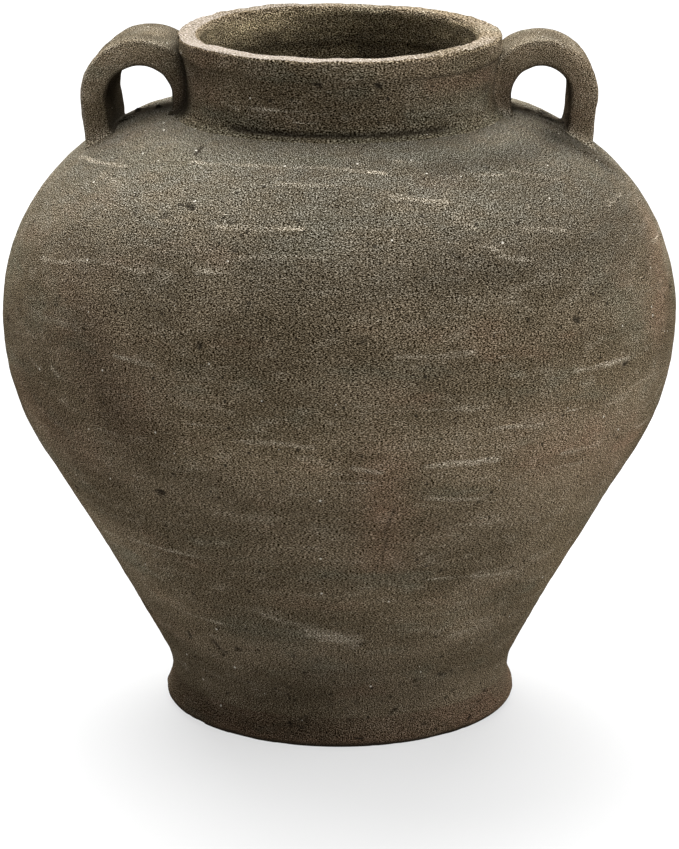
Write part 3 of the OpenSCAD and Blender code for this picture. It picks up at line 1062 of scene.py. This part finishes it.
def strap_rings(path, section, width, straps):
    """Place of the sand on a strap: round its section as on the wall's roll, and along its path."""
    around = np.linspace(0.0, 2 * (width + straps.thickness), len(section))
    around = STRAP_SPREAD * around[None, :] / WALL_ROLL
    around, along = np.broadcast_arrays(around, lengths(path)[:, None])
    return np.stack([WALL_ROLL * np.sin(around), -WALL_ROLL * np.cos(around), along], -1)


def strap(scene, name, side, seed):
    """A strap's section carried along its middle line: point c + t n + w b, with n away from the
    finger hole and b across the strap, turned by the skew about the front edge. Where it meets the
    shoulder and the neck it spreads as pressed clay, with crumbs in it."""
    wall, neck, straps = scene.vase_wall, scene.vase_neck, scene.vase_straps
    out, hole, top, width, skew, lean, luting = (
        getattr(straps, f"{name}_{size}")
        for size in ("out", "hole", "top", "width", "skew", "lean", "luting"))
    path = respaced(strap_path(out, hole / 2, top, lean, straps, wall), STRAP_STEP)
    section, normals = strap_section(width, straps, STRAP_COLUMNS)
    upright = np.array([[side, 0.0, 0.0], [0.0, 0.0, 1.0]])
    across = np.array([math.sin(skew), math.cos(skew), 0.0])
    away = (-outward(path) @ upright)[:, None]
    centre = (path @ upright - straps.forward * np.array([0.0, 1.0, 0.0]))[:, None]
    points = centre + section[:, :1] * away + (section[:, 1:] + width / 2) * across
    ways = normals[:, :1] * away + normals[:, 1:] * across
    on_dome, dome_face = shoulder_gap(points, wall)
    on_neck, neck_side = neck_gap(points, wall, neck)
    gap = np.clip(np.minimum(on_dome, on_neck), 0, None)
    crumbs = 0.6 * np.clip(noise(points, 260, seed + 1), 0, None) * np.exp(-gap / (3 * MM))
    uneven = dents(points, (0.50, 40, seed), (0.30, 110, seed + 2), (0.16, 330, seed + 3))
    outer_edge = 4 * normals[:, 0] ** 2 * normals[:, 1] ** 2 * (normals[:, 0] > 0)
    front_edge = outer_edge ** 3 * (normals[:, 1] < 0)
    lift = MM * (crumbs + uneven)
    lift += straps.ridge * front_edge * (0.8 + 0.5 * noise(points, 70, seed + 6))
    points = points + lift[..., None] * ways
    in_front = np.clip(-ways[..., 1], 0, 1)
    foot_luting = straps.foot_luting * (0.35 + 0.65 * in_front)
    points = pressed_out(points, ways, on_dome, dome_face, foot_luting)
    points = pressed_out(points, ways, on_neck, neck_side, luting)

    facing_up = np.clip(ways[..., 2], 0, 1)
    on_foot = np.exp(-np.clip(on_dome, 0, None) / (3 * MM))
    off_foot = 1.0 - on_foot
    worn = outer_edge ** 2 * smooth_step(-0.5, 0.4, noise(points, 60, seed + 4))
    # Painted shade in the crevice against the neck, and on the faces of the finger hole
    crevice = np.exp(-np.clip(on_neck, 0, None) / (2.8 * MM)) * max(0.25, 1.1 - luting / (4 * MM))
    in_hole = smooth_step(0.2, 0.9, -normals[:, 0]) * (0.4 + 0.4 * np.exp(-gap / (9 * MM)))
    near_hole = smooth_step(0.2, -0.9, 2 * section[:, 0] / straps.thickness)
    dome_dust_and_sheen = smooth_step(0.15, 0.95, dome_face[..., 2])
    # Painted light and shade: the front face paler, less so near the hole, and the top darker away from
    # the foot
    cloud = (0.55 - 0.35 * near_hole) * in_front - 0.2 * facing_up * off_foot
    layers = {layer: np.zeros(lift.shape) for layer in LAYERS}
    layers["slip"] = 0.5 * front_edge * smooth_step(-0.5, 0.4, noise(points, 90, seed + 7)) * off_foot
    layers["wear"] = np.clip(0.6 * worn + 0.25 * facing_up, 0, 1) * off_foot
    layers["soot"] = np.maximum(crevice, in_hole)
    layers["iron"] = 0.6 * smooth_step(0.1, 0.7, noise(points, 30, seed + 5))
    # The strap's top, and its foot like the shoulder under it, get the dust and painted sheen of faces
    # that look up
    layers["dust"] = 0.5 * smooth_step(0.3, 1.0, facing_up) * off_foot + dome_dust_and_sheen * on_foot
    layers["cloud"] = cloud + 0.25 * noise(points, 110, seed + 8)
    layers["rings"] = strap_rings(path, section, width, straps)
    return points, layers


class ClayNodes:
    """Short calls for adding shader nodes and joining them."""

    def __init__(self, tree):
        self.tree = tree

    def add(self, kind, inputs=None, **settings):
        """A node with its settings, and its inputs set to a value or joined to an output."""
        node = self.tree.nodes.new(kind)
        for key, value in settings.items():
            setattr(node, key, value)
        for key, value in (inputs or {}).items():
            if isinstance(value, bpy.types.NodeSocket):
                self.tree.links.new(value, node.inputs[key])
            else:
                node.inputs[key].default_value = value
        return node

    def layer(self, name):
        """One of the layers that the shapes hand over."""
        return self.add("ShaderNodeAttribute", attribute_name=name).outputs["Fac"]

    def noise(self, place, scale, detail=3.0, roughness=0.55):
        """Noise with that many cells a metre."""
        inputs = {"Vector": place, "Scale": scale, "Detail": detail, "Roughness": roughness}
        return self.add("ShaderNodeTexNoise", inputs).outputs["Fac"]

    def cells(self, place, scale):
        """Distance to the middle of the nearest of the flat cells strewn over a face."""
        inputs = {"Vector": place, "Scale": scale}
        return self.add("ShaderNodeTexVoronoi", inputs, voronoi_dimensions="2D").outputs["Distance"]

    def specks(self, place, scale, channel, least, widest):
        """Distance to the nearest speck and the speck's size. A channel of its own random colour sets
        the size: none up to the least value, then up to the widest."""
        cell = self.add("ShaderNodeTexVoronoi", {"Vector": place, "Scale": scale}).outputs
        chosen = self.add("ShaderNodeSeparateColor", {0: cell["Color"]}).outputs[channel]
        return cell["Distance"], self.times(self.ease(chosen, least, 1.0), widest)

    def stretched(self, place, share):
        """Places whose height counts by that share, so that patterns on them lie flat."""
        return self.add("ShaderNodeMapping", {"Vector": place, "Scale": (1.0, 1.0, share)}).outputs[0]

    def math(self, operation, first, second):
        """Arithmetic on two values."""
        return self.add("ShaderNodeMath", {0: first, 1: second}, operation=operation).outputs[0]

    def plus(self, first, second):
        """Sum of two values."""
        return self.math("ADD", first, second)

    def minus(self, first, second):
        """Difference of two values."""
        return self.math("SUBTRACT", first, second)

    def times(self, first, second):
        """Product of two values."""
        return self.math("MULTIPLY", first, second)

    def ease(self, value, low, high, start=0.0, end=1.0):
        """A smooth change from start to end while the value goes from low to high."""
        inputs = {"Value": value, "From Min": low, "From Max": high, "To Min": start, "To Max": end}
        return self.add("ShaderNodeMapRange", inputs, interpolation_type="SMOOTHSTEP").outputs[0]

    def mix(self, factor, first, second, blend="MIX"):
        """Two colours blended by a factor."""
        inputs = {0: factor, 6: first, 7: second}
        return self.add("ShaderNodeMix", inputs, data_type="RGBA", blend_type=blend).outputs[2]


def tint(value):
    """A colour property as red, green, blue and full alpha."""
    return (*value, 1.0)


def clay_fields(n):
    """Patterns that the clay is mixed from: clouds on the piece's own coordinates, streaks along the
    turning, and the two sets of flat cells of the sand on the unrolled wall."""
    place = n.add("ShaderNodeTexCoord").outputs["Object"]
    rings = n.add("ShaderNodeAttribute", attribute_name="rings").outputs["Vector"]
    apart = n.add("ShaderNodeSeparateXYZ", {0: rings}).outputs
    turn = n.math("ARCTAN2", apart[0], n.times(apart[1], -1.0))
    level = n.add("ShaderNodeVectorMath", {0: rings, 1: (1.0, 1.0, 0.0)}, operation="MULTIPLY")
    roll = n.add("ShaderNodeVectorMath", {0: level.outputs[0]}, operation="LENGTH").outputs["Value"]
    unrolled = {0: n.times(turn, roll), 1: n.times(apart[2], SAND_PRESSED)}
    sheet = n.add("ShaderNodeCombineXYZ", unrolled).outputs[0]
    beside = n.add("ShaderNodeMapping", {"Vector": sheet, "Location": (3.7, 1.3, 0.0)}).outputs[0]
    flat = n.stretched(place, 2.6)
    return SimpleNamespace(
        place=place,
        cloud=n.noise(flat, 16, 4.0),
        flush=n.noise(flat, 22, 3.0),
        mottle=n.noise(flat, 75, 4.0, 0.6),
        speckle=n.noise(flat, 210, 2.0, 0.5),
        coarse=n.noise(place, 1100, 1.0, 0.5),
        streak=n.noise(n.stretched(rings, 7.0), 55, 4.0, 0.6),
        line=n.ease(n.noise(n.stretched(rings, 16.0), 42, 3.0, 0.6), 0.50, 0.66),
        away=n.cells(sheet, SAND_SCALE),
        between=n.cells(beside, SAND_SCALE),
    )


def fired_tone(n, field, clay):
    """Colour of the clay under its sand: clouds of three tones, rust and ash flushes, dust and a painted
    sheen on top of the shoulder, the inside, and dried slip."""
    tone = n.mix(n.ease(field.cloud, 0.40, 0.62), tint(clay.shade), tint(clay.body))
    tone = n.mix(n.ease(field.mottle, 0.50, 0.75, 0.0, 0.65), tone, tint(clay.light))
    tone = n.mix(n.ease(field.streak, 0.58, 0.74, 0.0, 0.35), tone, tint(clay.light))
    rust = n.plus(n.times(n.layer("iron"), 0.6), n.ease(field.flush, 0.55, 0.75, 0.0, 0.35))
    tone = n.mix(n.times(rust, n.ease(field.mottle, 0.3, 0.6, 0.5, 1.0)), tone, tint(clay.iron))
    grey = n.plus(n.times(n.layer("ash"), 0.75), n.ease(field.flush, 0.45, 0.28, 0.0, 0.4))
    tone = n.mix(n.times(grey, n.ease(field.streak, 0.3, 0.6, 0.5, 1.0)), tone, tint(clay.ash))
    # Greyer clay where the face looks up: dust, and a painted sheen of the light from above
    dust_and_sheen_share = n.times(n.layer("dust"), n.ease(field.mottle, 0.3, 0.7, 0.45, 0.9))
    tone = n.mix(dust_and_sheen_share, tone, tint(clay.dust))
    ochre = n.mix(n.ease(field.mottle, 0.36, 0.72), tint(clay.umber), tint(clay.ochre))
    tone = n.mix(n.layer("inside"), tone, ochre)
    dried = n.times(n.layer("slip"), n.plus(n.times(field.line, 0.4), 0.6))
    dried = n.plus(dried, n.times(field.line, n.ease(field.streak, 0.55, 0.70, 0.0, 0.35)))
    return n.mix(n.ease(dried, 0.05, 0.75, 0.0, 0.85), tone, tint(clay.slip))


def sandy(n, field, tone, polished):
    """The tone times the colour of its sand, most of which is gone where the clay is polished."""
    sand = n.minus(field.between, field.away)
    sand = n.plus(sand, n.times(n.minus(field.speckle, 0.5), 0.10))
    spread = n.add("ShaderNodeMapRange", {"Value": sand, "From Min": -0.48, "From Max": 0.45})
    grain = n.mix(spread.outputs[0], DARK_GRAIN, PALE_GRAIN)
    grain = n.add("ShaderNodeGamma", {"Color": grain, "Gamma": 2.2}).outputs[0]
    grain = n.mix(n.times(polished, 0.8), grain, WHITE)
    return n.mix(1.0, tone, grain, "MULTIPLY")


def clay_material():
    """Unglazed sandy clay: the fired tone, worn edges, sand in colour and relief, paler and darker
    clouds that are partly painted light and shade, darkening in the pits and pin holes, painted shade in
    corners, crevices and under the straps, and a few white grits. It is made once."""
    name = "sandy_clay"
    if name in bpy.data.materials:
        return bpy.data.materials[name]
    clay = bpy.context.scene.vase_clay
    material = bpy.data.materials.new(name)
    material.use_nodes = True
    tree = material.node_tree
    tree.nodes.clear()
    n = ClayNodes(tree)
    field = clay_fields(n)

    rubbed = n.plus(n.layer("wear"), n.times(n.minus(field.coarse, 0.5), 0.5))
    polished = n.ease(rubbed, 0.35, 1.0, 0.0, 0.9)
    tone = n.mix(polished, fired_tone(n, field, clay), tint(clay.worn))
    tone = sandy(n, field, tone, polished)
    # The cloud layer makes the clay paler or darker: partly clouds in the clay, partly painted light and
    # shade
    paler = n.plus(n.layer("cloud"), 1.0)
    clouds = n.add("ShaderNodeCombineColor", {0: paler, 1: paler, 2: paler}).outputs[0]
    tone = n.mix(1.0, tone, clouds, "MULTIPLY")

    far, size = n.specks(field.place, PIN_HOLE_SCALE, 1, 0.62, 0.20)
    pin_hole = n.ease(n.minus(far, size), 0.02, -0.04)
    # Near-black in pits and pin holes, and painted shade in corners, crevices, finger holes and under the
    # straps
    darkened = n.math("MAXIMUM", n.layer("soot"), n.times(pin_hole, 0.8))
    tone = n.mix(darkened, tone, tint(clay.soot))
    far, size = n.specks(field.place, GRIT_SCALE, 0, 0.35, 0.080)
    white = n.math("LESS_THAN", far, size)
    tone = n.mix(n.times(white, 0.85), tone, tint(clay.grit))

    height = n.minus(n.times(field.coarse, 0.5), n.times(field.away, 0.7))
    height = n.minus(height, n.times(pin_hole, 0.5))
    bump = n.add("ShaderNodeBump", {"Height": height, "Strength": 1.0, "Distance": SAND_DEPTH})
    shader = n.add("ShaderNodeBsdfPrincipled", {
        "Base Color": tone,
        "Roughness": n.ease(field.mottle, 0.3, 0.7, 0.82, 0.96),
        "Normal": bump.outputs[0],
        "Specular IOR Level": 0.0,
    })
    n.add("ShaderNodeOutputMaterial", {"Surface": shader.outputs[0]})
    return material


def soft_light(name, power, rise, turn):
    """A wide, soft light at a height angle and a turn in degrees: 0 is the camera's side, 90 the right."""
    light = bpy.data.lights.new(name, "SUN")
    light.energy = power
    light.angle = LIGHT_SPREAD
    lamp = bpy.data.objects.new(name, light)
    lamp.rotation_euler = (math.radians(90 - rise), 0.0, math.radians(turn))
    bpy.context.scene.collection.objects.link(lamp)


def floor_material(stage):
    """Matt plate of the studio's light table, which glows a little."""
    material = bpy.data.materials.new("studio_floor")
    material.use_nodes = True
    shader = material.node_tree.nodes["Principled BSDF"]
    shader.inputs["Base Color"].default_value = tint(stage.floor_tone)
    shader.inputs["Emission Color"].default_value = WHITE
    shader.inputs["Emission Strength"].default_value = stage.floor_glow
    shader.inputs["Roughness"].default_value = 1.0
    shader.inputs["Specular IOR Level"].default_value = 0.0
    return material


class VASE_OT_stage(bpy.types.Operator):
    """Set up the floor, the soft light and the camera"""
    bl_idname = "vase.stage"
    bl_label = "Stage"

    def execute(self, context):
        scene = context.scene
        stage = scene.vase_stage
        half = stage.floor_size / 2
        mesh = bpy.data.meshes.new("studio_floor")
        mesh.from_pydata([(-half, -half, 0), (half, -half, 0), (half, half, 0), (-half, half, 0)],
                         [], [(0, 1, 2, 3)])
        mesh.materials.append(floor_material(stage))
        floor = bpy.data.objects.new("studio_floor", mesh)
        scene.collection.objects.link(floor)

        world = bpy.data.worlds.new("dark_room")
        world.use_nodes = True
        world.node_tree.nodes["Background"].inputs["Strength"].default_value = 0.0
        scene.world = world

        soft_light("top_light", stage.top, rise=90, turn=0)
        soft_light("back_light", stage.back, rise=35, turn=180)
        soft_light("high_light", stage.high, rise=60, turn=206)
        soft_light("side_light", stage.side, rise=12, turn=90)
        soft_light("front_light", stage.front, rise=60, turn=45)

        camera = bpy.data.cameras.new("camera")
        camera.lens = stage.lens
        camera.sensor_width = 36.0
        camera.sensor_fit = "AUTO"
        view = bpy.data.objects.new("camera", camera)
        view.location = (0.0, -stage.camera_back, stage.camera_up)
        view.rotation_euler = (math.pi / 2 - stage.camera_pitch, 0.0, 0.0)
        scene.collection.objects.link(view)
        scene.camera = view
        scene.view_settings.view_transform = "Standard"
        return {"FINISHED"}


OPERATORS = (
    VASE_OT_base_slab, VASE_OT_foot_ring, VASE_OT_thrown_wall, VASE_OT_neck_collar,
    VASE_OT_rim_coil, VASE_OT_strap_handles, VASE_OT_stage,
)
GROUPS = {
    "vase_wall": VaseWall, "vase_neck": VaseNeck, "vase_straps": VaseStraps,
    "vase_clay": VaseClay, "vase_stage": VaseStage,
}


class VASE_PT_panel(bpy.types.Panel):
    """Sizes, colours and steps of the vase"""
    bl_idname = "VASE_PT_panel"
    bl_label = "Clay Vase"
    bl_space_type = "VIEW_3D"
    bl_region_type = "UI"
    bl_category = "Vase"

    def draw(self, context):
        for name, group in GROUPS.items():
            box = self.layout.box()
            box.label(text=group.__doc__)
            for key in group.__annotations__:
                box.prop(getattr(context.scene, name), key)
        for step in OPERATORS:
            self.layout.operator(step.bl_idname)


def register():
    """Adds the property groups, the operators and the panel."""
    for name, group in GROUPS.items():
        bpy.utils.register_class(group)
        setattr(bpy.types.Scene, name, PointerProperty(type=group))
    for item in (*OPERATORS, VASE_PT_panel):
        bpy.utils.register_class(item)


def unregister():
    """Takes away what register added."""
    for item in (VASE_PT_panel, *reversed(OPERATORS)):
        bpy.utils.unregister_class(item)
    for name, group in reversed(GROUPS.items()):
        delattr(bpy.types.Scene, name)
        bpy.utils.unregister_class(group)


def main():
    """Makes every piece and the stage."""
    register()
    bpy.ops.vase.base_slab()
    bpy.ops.vase.foot_ring()
    bpy.ops.vase.thrown_wall()
    bpy.ops.vase.neck_collar()
    bpy.ops.vase.rim_coil()
    bpy.ops.vase.strap_handles()
    bpy.ops.vase.stage()


if __name__ == "__main__":
    main()
